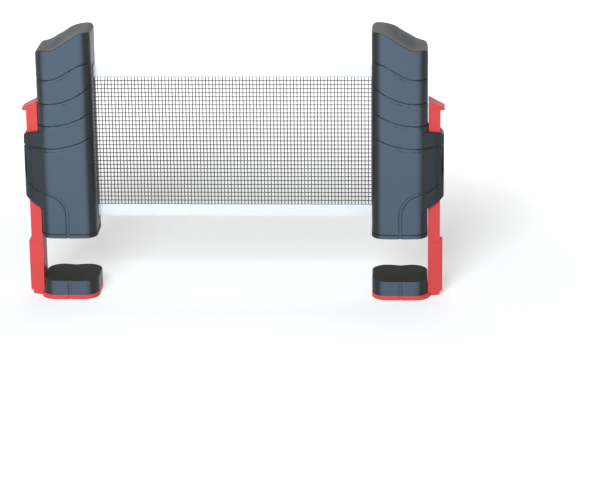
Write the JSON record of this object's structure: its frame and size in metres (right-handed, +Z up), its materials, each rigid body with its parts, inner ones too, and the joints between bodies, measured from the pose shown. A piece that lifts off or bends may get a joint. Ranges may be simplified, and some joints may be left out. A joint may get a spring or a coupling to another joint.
{
  "type": "table tennis net clamp",
  "caption": "Retractable table tennis net between two sprung clamp posts: the net winds onto a roller in each post, and a sliding jaw grips the table edge.",
  "frame": {"origin": "on the ground under the foot plates, midway between the posts, in the plane of the net", "axes": "+X along the net from the left post to the right one, +Y across the net towards the back, where the case screws are, +Z up"},
  "size_m": [0.409, 0.054, 0.267],
  "materials": {
    "case_plastic": "satin moulded, slate grey",
    "black_plastic": "matte moulded, black",
    "red_plastic": "satin moulded, red",
    "white_plastic": "self-coloured acetal",
    "pad_rubber": "matte",
    "screw_steel": "zinc plated",
    "spring_steel": "drawn",
    "tube_aluminium": "extruded",
    "net_thread": "knotless mesh of fine thread, dark grey",
    "tape_fabric": "folded woven tape, white"
  },
  "bodies": {
    "left_post": {"left_front_shell": "case_plastic", "left_rear_shell": "case_plastic", "left_case_screws": "screw_steel", "left_net_mouth": "black_plastic", "left_base_plate": "case_plastic", "left_base_pad": "pad_rubber", "left_base_screws": "screw_steel", "left_roller_spindle": "spring_steel", "left_roller_spring": "spring_steel", "left_clamp_spring": "spring_steel", "net_mesh": "net_thread", "top_tape": "tape_fabric", "bottom_tape": "tape_fabric"},
    "right_post": {"right_front_shell": "case_plastic", "right_rear_shell": "case_plastic", "right_case_screws": "screw_steel", "right_net_mouth": "black_plastic", "right_base_plate": "case_plastic", "right_base_pad": "pad_rubber", "right_base_screws": "screw_steel", "right_roller_spindle": "spring_steel", "right_roller_spring": "spring_steel", "right_clamp_spring": "spring_steel"},
    "left_roller": {"left_roller_tube": "tube_aluminium", "left_roller_top_plug": "white_plastic", "left_roller_bottom_bush": "white_plastic", "left_net_roll": "net_thread"},
    "left_clamp": {"left_clamp_slider": "red_plastic", "left_jaw_block": "case_plastic", "left_jaw_pad": "pad_rubber", "left_jaw_screws": "screw_steel"},
    "right_roller": {"right_roller_tube": "tube_aluminium", "right_roller_top_plug": "white_plastic", "right_roller_bottom_bush": "white_plastic", "right_net_roll": "net_thread"},
    "right_clamp": {"right_clamp_slider": "red_plastic", "right_jaw_block": "case_plastic", "right_jaw_pad": "pad_rubber", "right_jaw_screws": "screw_steel"}
  },
  "joints": [
    {"name": "net_pull", "type": "slide", "parent": "left_post", "child": "right_post", "axis": [1, 0, 0], "range_m": [-0.267, 1.516], "deforming": ["net_mesh", "top_tape", "bottom_tape"]},
    {"name": "left_clamp_slide", "type": "slide", "parent": "left_post", "child": "left_clamp", "axis": [0, 0, -1], "range_m": [-0.042, 0.02], "deforming": ["left_clamp_spring"]},
    {"name": "right_clamp_slide", "type": "slide", "parent": "right_post", "child": "right_clamp", "axis": [0, 0, -1], "range_m": [-0.042, 0.02], "deforming": ["right_clamp_spring"]},
    {"name": "left_roller_spin", "type": "hinge", "parent": "left_post", "child": "left_roller", "pos_m": [-0.15542, 0, 0.1], "axis": [0, 0, 1], "range_deg": [-3300, 600], "deforming": ["left_roller_spring"]},
    {"name": "right_roller_spin", "type": "hinge", "parent": "right_post", "child": "right_roller", "pos_m": [0.15542, 0, 0.1], "axis": [0, 0, 1], "range_deg": [-600, 3300], "deforming": ["right_roller_spring"]}
  ],
  "couplings": [
    {"joint": "left_roller_spin", "follows": "net_pull", "rad_per_m": -37.04},
    {"joint": "right_roller_spin", "follows": "net_pull", "rad_per_m": 37.04}
  ]
}
